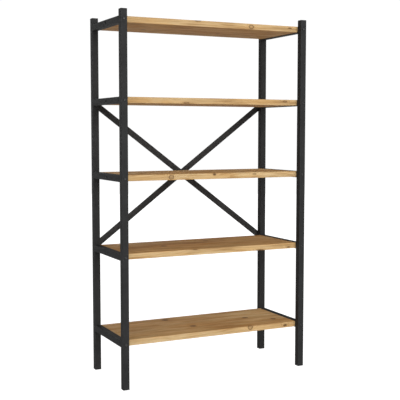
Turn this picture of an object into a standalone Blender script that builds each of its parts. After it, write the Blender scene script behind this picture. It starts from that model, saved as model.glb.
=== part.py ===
"""Five-level bookcase: bolted square-tube frame, solid wood shelves, crossed flat bars at the back.

Run with: blender --background --python part.py
Metres, +Z up, +X to the right of someone facing the front, -Y towards that person.
The origin is on the floor, in the middle of the whole object's outline.
"""

import math

import bmesh
import bpy
from mathutils import Matrix, Vector

# Driving dimensions
HEIGHT = 1.700
WIDTH = 0.9565
DEPTH = 0.409
TUBE = 0.030
TUBE_WALL = 0.002
TUBE_CORNER = 0.0015
TUBE_INNER_CORNER = 0.0005
SHELF_TOPS = (1.6705, 1.3175, 0.969, 0.616, 0.222)
BOARD_THICKNESS = 0.027
BOARD_EDGE_RADIUS = 0.0015

# Touching faces keep this gap, so that no two pieces share space
GAP = 0.0003

# End plugs of the posts
CAP_FLANGE = 0.003
FOOT_FLANGE = 0.004
PLUG_STEM_LENGTH = 0.016
PLUG_STEM_SIDE = 0.0254
PLUG_EDGE_CHAMFER = 0.0008

# Side rails: tubes with a threaded plate welded into each end
RAIL_END_PLATE = 0.004

# M8 bolts along Y, through a post and into a rail's end plate
RAIL_BOLT_RADIUS = 0.004
RAIL_BOLT_HEAD_RADIUS = 0.0070
RAIL_BOLT_HEAD_HEIGHT = 0.0030
RAIL_BOLT_LENGTH = 0.042
RAIL_BOLT_HOLE_RADIUS = 0.0046

# Wood screws along X, through a rail and into the end of a board
BOARD_SCREW_RADIUS = 0.003
BOARD_SCREW_HEAD_RADIUS = 0.0060
BOARD_SCREW_HEAD_HEIGHT = 0.0025
BOARD_SCREW_LENGTH = 0.062
BOARD_SCREW_HOLE_RADIUS = 0.0036
BOARD_HOLE_DEPTH = 0.034

# Crossed flat bars behind the rear posts, held by the rear rail bolts of these shelves
BRACED_SHELVES = (2, 4)
BAR_WIDTH = 0.030
BAR_THICKNESS = 0.003
BAR_END_INSET = 0.001
BAR_CROSSING_HEIGHT = 0.9538
BAR_SLOPE = 0.7482
BAR_FLAT_HALF = 0.030
BAR_BOW_STEPS = 6
RIVET_RADIUS = 0.003
RIVET_HOLE_RADIUS = 0.0036
RIVET_HEAD_RADIUS = 0.0062
RIVET_HEAD_HEIGHT = 0.0022

# Shape of the heads: height of the rim and radius of the crown, as shares of the whole head
HEAD_RIM_SHARE = 0.4
BOLT_CROWN_SHARE = 0.7
RIVET_CROWN_SHARE = 0.6

# Facets: round a full turn, round the end of a bar, and round the corner of a tube
BOLT_SIDES = 12
HOLE_SIDES = 8
BAR_END_STEPS = 8
CORNER_STEPS = 2

# Edges flatter than this many degrees are shaded smooth
TUBE_SMOOTH_ANGLE = 30
TURNED_SMOOTH_ANGLE = 40

# Cuts across a bar join points that are closer than this
BAR_CUT_MERGE = 0.00001

# Finishes: colour, roughness, metallic
FINISHES = {
    "powder_coat": ((0.025, 0.0255, 0.026), 0.55, 0.0),
    "wood": ((0.62, 0.42, 0.21), 0.65, 0.0),
    "plastic": ((0.014, 0.014, 0.014), 0.6, 0.0),
    "black_steel": ((0.06, 0.06, 0.06), 0.4, 1.0),
}

# Places that follow from the sizes above
POST_X = WIDTH / 2 - TUBE / 2
FRONT_STANDOFF = GAP + RAIL_BOLT_HEAD_HEIGHT
BACK_STANDOFF = 3 * GAP + 2 * BAR_THICKNESS + RIVET_HEAD_HEIGHT
FRAME_SHIFT = (FRONT_STANDOFF - BACK_STANDOFF) / 2
FRONT_FACE = FRAME_SHIFT - DEPTH / 2
BACK_FACE = FRAME_SHIFT + DEPTH / 2
FRONT_POST_Y = FRONT_FACE + TUBE / 2
REAR_POST_Y = BACK_FACE - TUBE / 2
RAIL_LENGTH = DEPTH - 2 * TUBE - 2 * GAP
BOARD_LENGTH = WIDTH - 2 * TUBE - 2 * GAP
BOARD_DEPTH = DEPTH - 2 * TUBE - 2 * GAP

ALONG_X = Matrix.Rotation(math.pi / 2, 4, "Y")
ALONG_Y = Matrix.Rotation(-math.pi / 2, 4, "X")


def clear_scene():
    """Remove the objects that a new file opens with."""
    for old in list(bpy.data.objects):
        bpy.data.objects.remove(old, do_unlink=True)


def finish_material(name, colour, roughness, metallic):
    """A Principled material of one colour."""
    material = bpy.data.materials.new(name)
    material.use_nodes = True
    shader = material.node_tree.nodes["Principled BSDF"]
    shader.inputs["Base Color"].default_value = (*colour, 1.0)
    shader.inputs["Roughness"].default_value = roughness
    shader.inputs["Metallic"].default_value = metallic
    return material


def make_materials():
    """The four finishes of the bookcase."""
    return {name: finish_material(name, *values) for name, values in FINISHES.items()}


def new_object(name, mesh, matrix=None):
    """Link one named object that shows the mesh."""
    piece = bpy.data.objects.new(name, mesh)
    bpy.context.collection.objects.link(piece)
    if matrix is not None:
        piece.matrix_world = matrix
    return piece


def mesh_from(bm, name, smooth_angle=None):
    """Write a bmesh with outward faces to a mesh."""
    bmesh.ops.recalc_face_normals(bm, faces=bm.faces)
    mesh = bpy.data.meshes.new(name)
    bm.to_mesh(mesh)
    bm.free()
    if smooth_angle is not None:
        mesh.shade_smooth()
        mesh.set_sharp_from_angle(angle=math.radians(smooth_angle))
    return mesh


def rounded_square(half, radius, steps):
    """Points round a square with rounded corners, anticlockwise."""
    points = []
    for corner in range(4):
        start = corner * math.pi / 2
        centre = Vector((half - radius, half - radius, 0.0))
        centre.rotate(Matrix.Rotation(start, 3, "Z"))
        for step in range(steps + 1):
            angle = start + step / steps * math.pi / 2
            points.append(centre + radius * Vector((math.cos(angle), math.sin(angle), 0.0)))
    return points


def add_prism(bm, outline, low, high):
    """A closed prism over an outline in the XY plane."""
    bottom = [bm.verts.new((point.x, point.y, low)) for point in outline]
    face = bm.faces.new(bottom)
    grown = bmesh.ops.extrude_face_region(bm, geom=[face])["geom"]
    top = [item for item in grown if isinstance(item, bmesh.types.BMVert)]
    bmesh.ops.translate(bm, verts=top, vec=(0.0, 0.0, high - low))


def add_turned(bm, profile, sides):
    """Turn (radius, height) points about Z. The first and last points lie on the axis."""
    rings = []
    for radius, height in profile[1:-1]:
        ring = []
        for side in range(sides):
            angle = 2 * math.pi * (side + 0.5) / sides
            ring.append(bm.verts.new((radius * math.cos(angle), radius * math.sin(angle), height)))
        rings.append(ring)
    for lower, upper in zip(rings, rings[1:]):
        for side in range(sides):
            after = (side + 1) % sides
            bm.faces.new((lower[side], lower[after], upper[after], upper[side]))
    for ring, (_, height) in ((rings[0], profile[0]), (rings[-1], profile[-1])):
        tip = bm.verts.new((0.0, 0.0, height))
        for side in range(sides):
            bm.faces.new((ring[side], ring[(side + 1) % sides], tip))


def hide_cutter(cutter):
    """Show a cutter as wires only, and never in a render."""
    cutter.hide_render = True
    cutter.display_type = "WIRE"


def cylinder_cutter(name, places, radius, length, direction):
    """One hidden cutter of parallel cylinders centred on the given places."""
    bm = bmesh.new()
    for place in places:
        matrix = Matrix.Translation(place) @ direction @ Matrix.Rotation(math.pi / HOLE_SIDES, 4, "Z")
        bmesh.ops.create_cone(bm, cap_ends=True, segments=HOLE_SIDES, radius1=radius,
                              radius2=radius, depth=length, matrix=matrix)
    cutter = new_object(name, mesh_from(bm, name))
    hide_cutter(cutter)
    return cutter


def drill(piece, cutter):
    """Cut the cutter's shapes out of a piece."""
    cut = piece.modifiers.new("drill_" + cutter.name, "BOOLEAN")
    cut.operation = "DIFFERENCE"
    cut.solver = "EXACT"
    cut.object = cutter


def add_loops(bm, outlines):
    """A skin over (outline, height) pairs that all have the same number of points."""
    loops = [[bm.verts.new((point.x, point.y, height)) for point in outline]
             for outline, height in outlines]
    for current, following in zip(loops, loops[1:]):
        join_loops(bm, current, following)
    return loops


def join_loops(bm, current, following):
    """Faces between two loops of the same length."""
    for index, vert in enumerate(current):
        after = (index + 1) % len(current)
        bm.faces.new((vert, current[after], following[after], following[index]))


def tube_mesh(name, length):
    """An open square tube along +Z from the origin."""
    bm = bmesh.new()
    outer = rounded_square(TUBE / 2, TUBE_CORNER, CORNER_STEPS)
    inner = rounded_square(TUBE / 2 - TUBE_WALL, TUBE_INNER_CORNER, CORNER_STEPS)
    loops = add_loops(bm, ((outer, 0.0), (outer, length), (inner, length), (inner, 0.0)))
    join_loops(bm, loops[-1], loops[0])
    return mesh_from(bm, name, TUBE_SMOOTH_ANGLE)


def prism_mesh(name, half, radius, length):
    """A solid square bar with rounded corners, along Z and centred on the origin."""
    bm = bmesh.new()
    add_prism(bm, rounded_square(half, radius, CORNER_STEPS), -length / 2, length / 2)
    return mesh_from(bm, name, TUBE_SMOOTH_ANGLE)


def corners():
    """Name, sign of X, sign of Y for the four posts."""
    return (("front_left", -1, -1), ("front_right", 1, -1),
            ("rear_left", -1, 1), ("rear_right", 1, 1))


def sides():
    """Name and sign of X for the two ends of the bookcase."""
    return (("left", -1), ("right", 1))


def shelves():
    """Shelf numbers from the top down."""
    return range(1, len(SHELF_TOPS) + 1)


def post_y(side):
    """Y of a post's axis: side -1 is the front, 1 the back."""
    return FRONT_POST_Y if side < 0 else REAR_POST_Y


def rail_axis(shelf):
    """Height of the axis of a side rail, which its bolts share."""
    return SHELF_TOPS[shelf - 1] - TUBE / 2


def board_axis(shelf):
    """Height of the middle of a board's thickness."""
    return SHELF_TOPS[shelf - 1] - BOARD_THICKNESS / 2


def make_posts(materials):
    """Four upright tubes, drilled through front to back at each shelf."""
    mesh = tube_mesh("post_tube", HEIGHT - CAP_FLANGE - FOOT_FLANGE - 2 * GAP)
    mesh.materials.append(materials["powder_coat"])
    for name, side_x, side_y in corners():
        x = side_x * POST_X
        y = post_y(side_y)
        post = new_object(name + "_post", mesh)
        post.location = (x, y, FOOT_FLANGE + GAP)
        places = [(x, y, rail_axis(shelf)) for shelf in shelves()]
        drill(post, cylinder_cutter(name + "_post_holes", places, RAIL_BOLT_HOLE_RADIUS,
                                    2 * TUBE, ALONG_Y))


def make_rail(name, x, shelf, mesh, hollow):
    """One side rail, hollowed, bored through its end plates and across its middle."""
    place = Matrix.Translation((x, FRAME_SHIFT, rail_axis(shelf))) @ ALONG_Y
    rail = new_object(name, mesh, place)
    cavity = new_object(name + "_hollow", hollow, place)
    hide_cutter(cavity)
    drill(rail, cavity)
    bolt_place = [(x, FRAME_SHIFT, rail_axis(shelf))]
    drill(rail, cylinder_cutter(name + "_bolt_holes", bolt_place, RAIL_BOLT_HOLE_RADIUS,
                                DEPTH, ALONG_Y))
    screw_place = [(x, FRAME_SHIFT, board_axis(shelf))]
    drill(rail, cylinder_cutter(name + "_screw_holes", screw_place, BOARD_SCREW_HOLE_RADIUS,
                                2 * TUBE, ALONG_X))


def make_rails(materials):
    """Ten side rails between the front and rear posts, open inside between their end plates."""
    mesh = prism_mesh("rail_bar", TUBE / 2, TUBE_CORNER, RAIL_LENGTH)
    mesh.materials.append(materials["powder_coat"])
    hollow = prism_mesh("rail_hollow", TUBE / 2 - TUBE_WALL, TUBE_INNER_CORNER,
                        RAIL_LENGTH - 2 * RAIL_END_PLATE)
    for shelf in shelves():
        for label, side in sides():
            make_rail(f"{label}_side_rail_{shelf}", side * POST_X, shelf, mesh, hollow)


def make_boards(materials):
    """Five wooden shelves between the side rails, bored in both ends for the screws."""
    bm = bmesh.new()
    bmesh.ops.create_cube(bm, size=1.0)
    bmesh.ops.scale(bm, verts=bm.verts, vec=(BOARD_LENGTH, BOARD_DEPTH, BOARD_THICKNESS))
    bmesh.ops.bevel(bm, geom=bm.edges[:], offset=BOARD_EDGE_RADIUS, segments=1, affect="EDGES")
    mesh = mesh_from(bm, "board")
    mesh.materials.append(materials["wood"])
    for shelf in shelves():
        name = f"shelf_board_{shelf}"
        board = new_object(name, mesh)
        board.location = (0.0, FRAME_SHIFT, board_axis(shelf))
        places = [(side * BOARD_LENGTH / 2, FRAME_SHIFT, board_axis(shelf)) for _, side in sides()]
        drill(board, cylinder_cutter(name + "_holes", places, BOARD_SCREW_HOLE_RADIUS,
                                     2 * BOARD_HOLE_DEPTH, ALONG_X))


def plug_mesh(name, flange):
    """A tube plug: its chamfered flange from z 0 down, its stem from z 0 up."""
    face = rounded_square(TUBE / 2 - PLUG_EDGE_CHAMFER, TUBE_CORNER - PLUG_EDGE_CHAMFER,
                          CORNER_STEPS)
    side = rounded_square(TUBE / 2, TUBE_CORNER, CORNER_STEPS)
    stem = rounded_square(PLUG_STEM_SIDE / 2, TUBE_INNER_CORNER, CORNER_STEPS)
    bm = bmesh.new()
    loops = add_loops(bm, ((face, -flange), (side, PLUG_EDGE_CHAMFER - flange), (side, 0.0),
                           (stem, 0.0), (stem, PLUG_STEM_LENGTH)))
    bm.faces.new(loops[0])
    bm.faces.new(loops[-1])
    return mesh_from(bm, name, TUBE_SMOOTH_ANGLE)


def make_plugs(materials):
    """A cap in the top of each post and a foot in the bottom."""
    cap_mesh = plug_mesh("cap", CAP_FLANGE)
    foot_mesh = plug_mesh("foot", FOOT_FLANGE)
    for mesh in (cap_mesh, foot_mesh):
        mesh.materials.append(materials["plastic"])
    for name, side_x, side_y in corners():
        x = side_x * POST_X
        y = post_y(side_y)
        cap = new_object(name + "_cap", cap_mesh)
        cap.rotation_euler = (math.pi, 0.0, 0.0)
        cap.location = (x, y, HEIGHT - CAP_FLANGE)
        foot = new_object(name + "_foot", foot_mesh)
        foot.location = (x, y, FOOT_FLANGE)


def bolt_mesh(name, radius, length, head_radius, head_height):
    """A low round head above z 0 and a shank along -Z below it."""
    rim = head_height * HEAD_RIM_SHARE
    crown = head_radius * BOLT_CROWN_SHARE
    profile = ((0.0, -length), (radius, -length), (radius, 0.0), (head_radius, 0.0),
               (head_radius, rim), (crown, head_height), (0.0, head_height))
    bm = bmesh.new()
    add_turned(bm, profile, BOLT_SIDES)
    return mesh_from(bm, name, TURNED_SMOOTH_ANGLE)


def facing(direction):
    """Turn +Z to point along a world direction."""
    return Vector(direction).to_track_quat("Z", "Y").to_matrix().to_4x4()


def make_rail_bolts(materials):
    """Twenty bolts that hold the ends of the side rails to the posts."""
    mesh = bolt_mesh("rail_bolt", RAIL_BOLT_RADIUS, RAIL_BOLT_LENGTH,
                     RAIL_BOLT_HEAD_RADIUS, RAIL_BOLT_HEAD_HEIGHT)
    mesh.materials.append(materials["black_steel"])
    for shelf in shelves():
        for name, side_x, side_y in corners():
            seat = FRONT_FACE - GAP if side_y < 0 else BACK_FACE + GAP
            if side_y > 0 and shelf in BRACED_SHELVES:
                seat += BAR_THICKNESS + GAP
            place = Matrix.Translation((side_x * POST_X, seat, rail_axis(shelf)))
            new_object(f"{name}_rail_bolt_{shelf}", mesh, place @ facing((0, side_y, 0)))


def make_board_screws(materials):
    """Ten screws that hold the ends of the boards to the side rails."""
    mesh = bolt_mesh("board_screw", BOARD_SCREW_RADIUS, BOARD_SCREW_LENGTH,
                     BOARD_SCREW_HEAD_RADIUS, BOARD_SCREW_HEAD_HEIGHT)
    mesh.materials.append(materials["black_steel"])
    for shelf in shelves():
        for label, side in sides():
            seat = side * (WIDTH / 2 + GAP)
            place = Matrix.Translation((seat, FRAME_SHIFT, board_axis(shelf)))
            new_object(f"{label}_board_screw_{shelf}", mesh, place @ facing((side, 0, 0)))


def bar_stations(half_length):
    """Distances along a bar where it bends as it passes over the other one."""
    span = half_length - 2 * BAR_FLAT_HALF
    bend = [BAR_FLAT_HALF + span * step / BAR_BOW_STEPS for step in range(BAR_BOW_STEPS + 1)]
    return [-distance for distance in reversed(bend)] + bend


def bow(distance, half_length, rise):
    """How far a bar stands off the post faces at a distance from the crossing."""
    span = half_length - 2 * BAR_FLAT_HALF
    share = min(max((abs(distance) - BAR_FLAT_HALF) / span, 0.0), 1.0)
    return rise * (1.0 - share * share * (3.0 - 2.0 * share))


def bar_outline(half_length):
    """Points round a flat bar with round ends, in the XZ plane."""
    points = []
    for side in (1, -1):
        for step in range(BAR_END_STEPS + 1):
            angle = math.pi * (step / BAR_END_STEPS - 0.5)
            points.append((side * (half_length + BAR_WIDTH / 2 * math.cos(angle)),
                           side * BAR_WIDTH / 2 * math.sin(angle)))
    return points


def bar_mesh(name, half_length, rise):
    """A flat bar along X, its front face on y 0, bowed back by the rise at the middle."""
    bm = bmesh.new()
    bm.faces.new([bm.verts.new((x, 0.0, z)) for x, z in bar_outline(half_length)])
    if rise > 0.0:
        for distance in bar_stations(half_length):
            bmesh.ops.bisect_plane(bm, geom=bm.verts[:] + bm.edges[:] + bm.faces[:],
                                   dist=BAR_CUT_MERGE, plane_co=(distance, 0, 0), plane_no=(1, 0, 0))
        for vert in bm.verts:
            vert.co.y = bow(vert.co.x, half_length, rise)
    grown = bmesh.ops.extrude_face_region(bm, geom=bm.faces[:])["geom"]
    back = [item for item in grown if isinstance(item, bmesh.types.BMVert)]
    bmesh.ops.translate(bm, verts=back, vec=(0.0, BAR_THICKNESS, 0.0))
    return mesh_from(bm, name, TUBE_SMOOTH_ANGLE)


def make_bar(name, direction, rise, material):
    """One bar of the brace, bored for a rear rail bolt at each end and for the rivet."""
    angle = math.atan(BAR_SLOPE)
    mesh = bar_mesh(name, (POST_X - BAR_END_INSET) / math.cos(angle), rise)
    mesh.materials.append(material)
    bar = new_object(name, mesh)
    bar.rotation_euler = (0.0, -direction * angle, 0.0)
    bar.location = (0.0, BACK_FACE + GAP, BAR_CROSSING_HEIGHT)
    upper, lower = (rail_axis(shelf) for shelf in BRACED_SHELVES)
    ends = [(-direction * POST_X, BACK_FACE, lower), (direction * POST_X, BACK_FACE, upper)]
    drill(bar, cylinder_cutter(name + "_end_holes", ends, RAIL_BOLT_HOLE_RADIUS, TUBE, ALONG_Y))
    centre = [(0.0, BACK_FACE, BAR_CROSSING_HEIGHT)]
    drill(bar, cylinder_cutter(name + "_rivet_hole", centre, RIVET_HOLE_RADIUS, TUBE, ALONG_Y))


def rivet_mesh():
    """A rivet along +Z whose two heads grip both bars, the post faces' plane at z 0."""
    far = 3 * GAP + 2 * BAR_THICKNESS
    rim = RIVET_HEAD_HEIGHT * HEAD_RIM_SHARE
    crown = RIVET_HEAD_RADIUS * RIVET_CROWN_SHARE
    profile = ((0.0, -RIVET_HEAD_HEIGHT), (crown, -RIVET_HEAD_HEIGHT), (RIVET_HEAD_RADIUS, -rim),
               (RIVET_HEAD_RADIUS, 0.0), (RIVET_RADIUS, 0.0), (RIVET_RADIUS, far),
               (RIVET_HEAD_RADIUS, far), (RIVET_HEAD_RADIUS, far + rim),
               (crown, far + RIVET_HEAD_HEIGHT), (0.0, far + RIVET_HEAD_HEIGHT))
    bm = bmesh.new()
    add_turned(bm, profile, BOLT_SIDES)
    return mesh_from(bm, "rivet", TURNED_SMOOTH_ANGLE)


def make_brace(materials):
    """Two crossed bars, held by the rear rail bolts and riveted where they cross."""
    make_bar("falling_brace_bar", -1, 0.0, materials["powder_coat"])
    make_bar("rising_brace_bar", 1, BAR_THICKNESS + GAP, materials["powder_coat"])
    mesh = rivet_mesh()
    mesh.materials.append(materials["black_steel"])
    place = Matrix.Translation((0.0, BACK_FACE, BAR_CROSSING_HEIGHT))
    new_object("brace_rivet", mesh, place @ facing((0, 1, 0)))


def main():
    """Build every sub-part."""
    clear_scene()
    materials = make_materials()
    make_posts(materials)
    make_rails(materials)
    make_boards(materials)
    make_plugs(materials)
    make_rail_bolts(materials)
    make_board_screws(materials)
    make_brace(materials)


main()
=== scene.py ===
"""Five-level bookcase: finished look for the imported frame.

Square-tube steel posts and side rails in charcoal powder coat, knotty wooden boards,
two crossed flat bars behind the middle shelves, black plugs, bolts and screws.
Metres, +Z up, -Y is the open front.
"""

import math

import bmesh
import bpy
from bpy.props import FloatProperty, FloatVectorProperty, PointerProperty
from mathutils import Matrix, Vector


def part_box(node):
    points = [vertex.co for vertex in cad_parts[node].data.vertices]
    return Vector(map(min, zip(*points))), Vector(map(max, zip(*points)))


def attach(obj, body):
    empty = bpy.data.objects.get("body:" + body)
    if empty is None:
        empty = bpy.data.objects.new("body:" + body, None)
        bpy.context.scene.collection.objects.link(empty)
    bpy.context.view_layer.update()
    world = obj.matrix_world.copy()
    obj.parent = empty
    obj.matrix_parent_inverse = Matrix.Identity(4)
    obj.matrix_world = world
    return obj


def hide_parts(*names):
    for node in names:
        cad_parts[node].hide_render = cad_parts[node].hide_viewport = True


bl_info = {
    "name": "Five-level bookcase",
    "version": (1, 0, 0),
    "blender": (4, 5, 0),
    "location": "View3D > Sidebar > Bookcase",
    "description": "Builds the finished pieces of a steel and wood bookcase and its studio",
    "category": "Object",
}

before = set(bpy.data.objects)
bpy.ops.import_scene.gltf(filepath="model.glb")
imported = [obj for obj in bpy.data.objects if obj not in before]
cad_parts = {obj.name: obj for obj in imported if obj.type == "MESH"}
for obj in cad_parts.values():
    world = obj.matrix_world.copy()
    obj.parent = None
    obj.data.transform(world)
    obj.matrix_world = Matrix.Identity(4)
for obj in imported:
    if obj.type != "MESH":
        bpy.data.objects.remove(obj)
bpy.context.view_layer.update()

BODY = "root"
CORNERS = ("front_left", "front_right", "rear_left", "rear_right")
SIDES = ("left", "right")
SHELVES = (1, 2, 3, 4, 5)
WEAR = "edge_wear"

# Soft lamps: name, bearing round the bookcase (0 is the front, minus is the left), height, strength
STUDIO_LAMPS = (
    ("front_lamp", 8, 8, 1.90),
    ("front_left_lamp", -32, 30, 0.62),
    ("high_front_lamp", -20, 60, 0.30),
    ("high_right_lamp", 85, 50, 0.42),
    ("left_lamp", -100, 12, 0.16),
    ("low_back_lamp", 180, 6, 0.50),
    ("high_back_lamp", 180, 60, 0.46),
)

# Knots of each board: middle (along, across, up) and half sizes in metres from the board's middle,
# and how filled the heart is (0 is an open ring, 1 a black knot)
BOARD_KNOTS = {
    1: (((-0.090, -0.176, 0.012), (0.014, 0.020, 0.004), 0.6),
        ((0.191, -0.178, -0.001), (0.012, 0.020, 0.009), 0.1),
        ((0.404, -0.176, 0.004), (0.009, 0.016, 0.003), 0.8),
        ((-0.262, 0.061, -0.010), (0.012, 0.009, 0.020), 0.8),
        ((0.118, 0.030, 0.002), (0.010, 0.008, 0.030), 0.5)),
    2: (((0.379, -0.177, 0.005), (0.010, 0.018, 0.004), 0.5),
        ((-0.150, -0.176, -0.009), (0.012, 0.020, 0.003), 0.3),
        ((0.060, 0.085, 0.004), (0.012, 0.009, 0.030), 0.8),
        ((-0.330, -0.040, 0.002), (0.009, 0.008, 0.030), 0.4)),
    3: (((-0.226, -0.178, 0.000), (0.012, 0.022, 0.009), 0.1),
        ((-0.004, -0.177, 0.008), (0.008, 0.014, 0.005), 1.0),
        ((0.211, -0.176, 0.005), (0.010, 0.020, 0.003), 0.5),
        ((0.300, 0.050, 0.004), (0.012, 0.009, 0.030), 0.8),
        ((-0.100, 0.100, 0.000), (0.010, 0.008, 0.030), 0.4)),
    4: (((0.244, -0.176, -0.012), (0.018, 0.020, 0.004), 1.0),
        ((0.406, -0.176, -0.006), (0.008, 0.014, 0.003), 0.8),
        ((-0.104, -0.188, 0.015), (0.014, 0.020, 0.005), 0.2),
        ((-0.190, -0.006, 0.004), (0.013, 0.012, 0.030), 0.8),
        ((0.080, 0.095, 0.004), (0.012, 0.010, 0.030), 0.6)),
    5: (((0.193, -0.180, 0.008), (0.012, 0.018, 0.012), 0.1),
        ((0.390, -0.176, -0.002), (0.010, 0.018, 0.005), 1.0),
        ((-0.056, -0.050, 0.004), (0.015, 0.014, 0.030), 0.9),
        ((0.261, 0.002, 0.004), (0.014, 0.012, 0.030), 0.8),
        ((0.377, -0.080, 0.004), (0.012, 0.012, 0.030), 0.7),
        ((-0.125, 0.132, 0.004), (0.014, 0.014, 0.030), 0.8)),
}

# How much darker (plus) or paler (minus) each board's wood is than the others
BOARD_SHADE = {1: 0.00, 2: 0.09, 3: -0.16, 4: 0.00, 5: -0.12}

# Even patterns of the finishes: repeats per metre, detail and roughness
PATTERNS = {
    "coat_cloud": (14.0, 3.0, 0.55),
    "coat_speck": (1500.0, 2.0, 0.6),
    "coat_rub": (60.0, 4.0, 0.5),
    "coat_sheen": (120.0, 3.0, 0.5),
    "coat_peel": (420.0, 2.0, 0.5),
    "plastic_cloud": (90.0, 3.0, 0.5),
    "plastic_scuff": (300.0, 4.0, 0.5),
    "plastic_grain": (2200.0, 2.0, 0.5),
    "steel_stain": (500.0, 3.0, 0.6),
    "knot_ripple": (95.0, 3.0, 0.6),
    "floor_cloud": (0.8, 3.0, 0.5),
}

# The wood's patterns: repeats per metre along, across and up the board, detail and roughness
GRAIN_PATTERNS = {
    "drift": ((1.5, 8.0, 8.0), 3.0, 0.5),
    "streak": ((3.0, 60.0, 90.0), 4.0, 0.55),
    "cloud": ((7.0, 22.0, 40.0), 3.0, 0.55),
    "fibre": ((14.0, 380.0, 380.0), 3.0, 0.6),
    "pores": ((60.0, 1500.0, 1500.0), 2.0, 0.6),
    "warmth": ((5.0, 32.0, 50.0), 3.0, 0.6),
    # Streaks of the painted shade on the boards' top and underside
    "shade_streaks": ((3.6, 27.0, 27.0), 4.0, 0.62),
}
# How twisted the streaks of the painted shade are
SHADE_STREAK_DISTORTION = 0.3

# Smoothest and roughest spots of each finish, and how strongly it mirrors
COAT_ROUGHNESS = (0.50, 0.62)
PLASTIC_ROUGHNESS = (0.55, 0.70)
STEEL_ROUGHNESS = (0.34, 0.46)
WOOD_ROUGHNESS = (0.58, 0.72)
DULL_SPECULAR = 0.14
PLASTIC_SPECULAR = 0.30

# Turned rings on the fastener heads, in radians per metre of radius
TURNED_RINGS = 9000.0

# Wood: how far apart the noise of two boards and of two staves lies, first glue joint and how it
# shifts from board to board, height of a stave's pith below the board's middle and how it varies
# from stave to stave, and how far the rings wander by themselves and round a knot, in metres
BOARD_SEED = 3.7
RING_SEED = 40.0
GRAIN_SEED = 17.0
FIRST_JOINT = 1.0
JOINT_SHIFT = 0.011
PITH_HEIGHT = -0.050
PITH_SPREAD_UP = 0.04
PITH_SPREAD_ACROSS = 0.30
RING_DRIFT = 0.055
KNOT_BEND = 0.012
GOOD_YEARS_PER_METRE = 38.0

# Heights above and below a board's middle between which its broad faces, and the painted shade on
# them, begin
BROAD_FACE_FROM = (0.0118, 0.0134)

# Tubes: eased cut ends, how many times that edge the rubbed end is long, inside corner,
# and the flat shoulder beside a rounded corner
CUT_EDGE = 0.0004
RUBBED_ENDS = 5
TUBE_INNER_CORNER = 0.0005
CORNER_SHOULDER = 0.0016

# Plugs: stem, rounding of the outer face, and the sunk panel as (inset share, depth) pairs
PLUG_STEM_HALF = 0.0126
CAP_CROWN = 0.0016
FOOT_CROWN = 0.0012
PLUG_PANEL = ((0.55, 0.0002), (0.60, 0.0007))

# Flat bars and the rivet at their crossing
BAR_WIDTH = 0.030
BAR_THICKNESS = 0.003
BAR_FLAT_HALF = 0.030
BAR_CUT_MERGE = 0.00001
BAR_RIM_ANGLE = math.radians(60)
RIVET_HEAD_HEIGHT = 0.0022
RIVET_SHANK_RADIUS = 0.003
RIVET_POLE_RADIUS = 0.0004

# Bolts and screws
RAIL_BOLT = {"head_radius": 0.0068, "head_height": 0.0030, "shank_radius": 0.0039,
             "socket_radius": 0.0027}
BOARD_SCREW = {"head_radius": 0.0058, "head_height": 0.0025, "shank_radius": 0.0029,
               "socket_radius": 0.0021}
HEAD_CHAMFER = 0.0002

# How far each fastener is turned from the one before it, in radians
BOLT_TURN_BY_SHELF = 0.7
BOLT_TURN_BY_CORNER = 1.9
SCREW_TURN_BY_SHELF = 0.5

# Facets, and edges flatter than these angles are shaded smooth
CORNER_STEPS = 6
CROWN_STEPS = 5
DOME_STEPS = 6
TURNED_SIDES = 36
BAR_END_STEPS = 14
BAR_BOW_STEPS = 16
FLAT_SMOOTH_ANGLE = 35
TURNED_SMOOTH_ANGLE = 40

# Lays a piece made along Z down so that it runs back along +Y
QUARTER_BACK = Matrix.Rotation(-math.pi / 2, 4, "X")

# Studio: angles in degrees for the lamps and in radians for the camera, lens in millimetres
LAMP_WIDTH = 40
FLOOR_RADIUS = 12.0
FLOOR_GAP = 0.0004
CAMERA_PLACE = (-1.83892, -3.76093, 1.16332)
CAMERA_PITCH = -0.07941
CAMERA_HEADING = 0.45632
CAMERA_LENS = 77.376
CAMERA_SENSOR = 36.0


class BookcaseSizes(bpy.types.PropertyGroup):
    """Sizes of the finished pieces"""

    tube_corner: FloatProperty(
        name="Tube corner radius", description="Outside corner radius of the square tube",
        default=0.0012, min=0.0005, max=0.006, unit="LENGTH")
    tube_wall: FloatProperty(
        name="Tube wall", description="Wall thickness of the square tube",
        default=0.002, min=0.001, max=0.004, unit="LENGTH")
    board_edge: FloatProperty(
        name="Board edge radius", description="Rounding of the boards' long and short edges",
        default=0.0012, min=0.0003, max=0.005, unit="LENGTH")
    plank_width: FloatProperty(
        name="Stave width", description="Width of the glued staves in a board",
        default=0.0873, min=0.03, max=0.2, unit="LENGTH")
    ring_spacing: FloatProperty(
        name="Year ring", description="Mean width of a year ring in the wood",
        default=0.0042, min=0.001, max=0.02, unit="LENGTH")
    bar_edge: FloatProperty(
        name="Bar edge radius", description="Rounding of the flat bars' edges",
        default=0.0006, min=0.0001, max=0.0014, unit="LENGTH")


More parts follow.
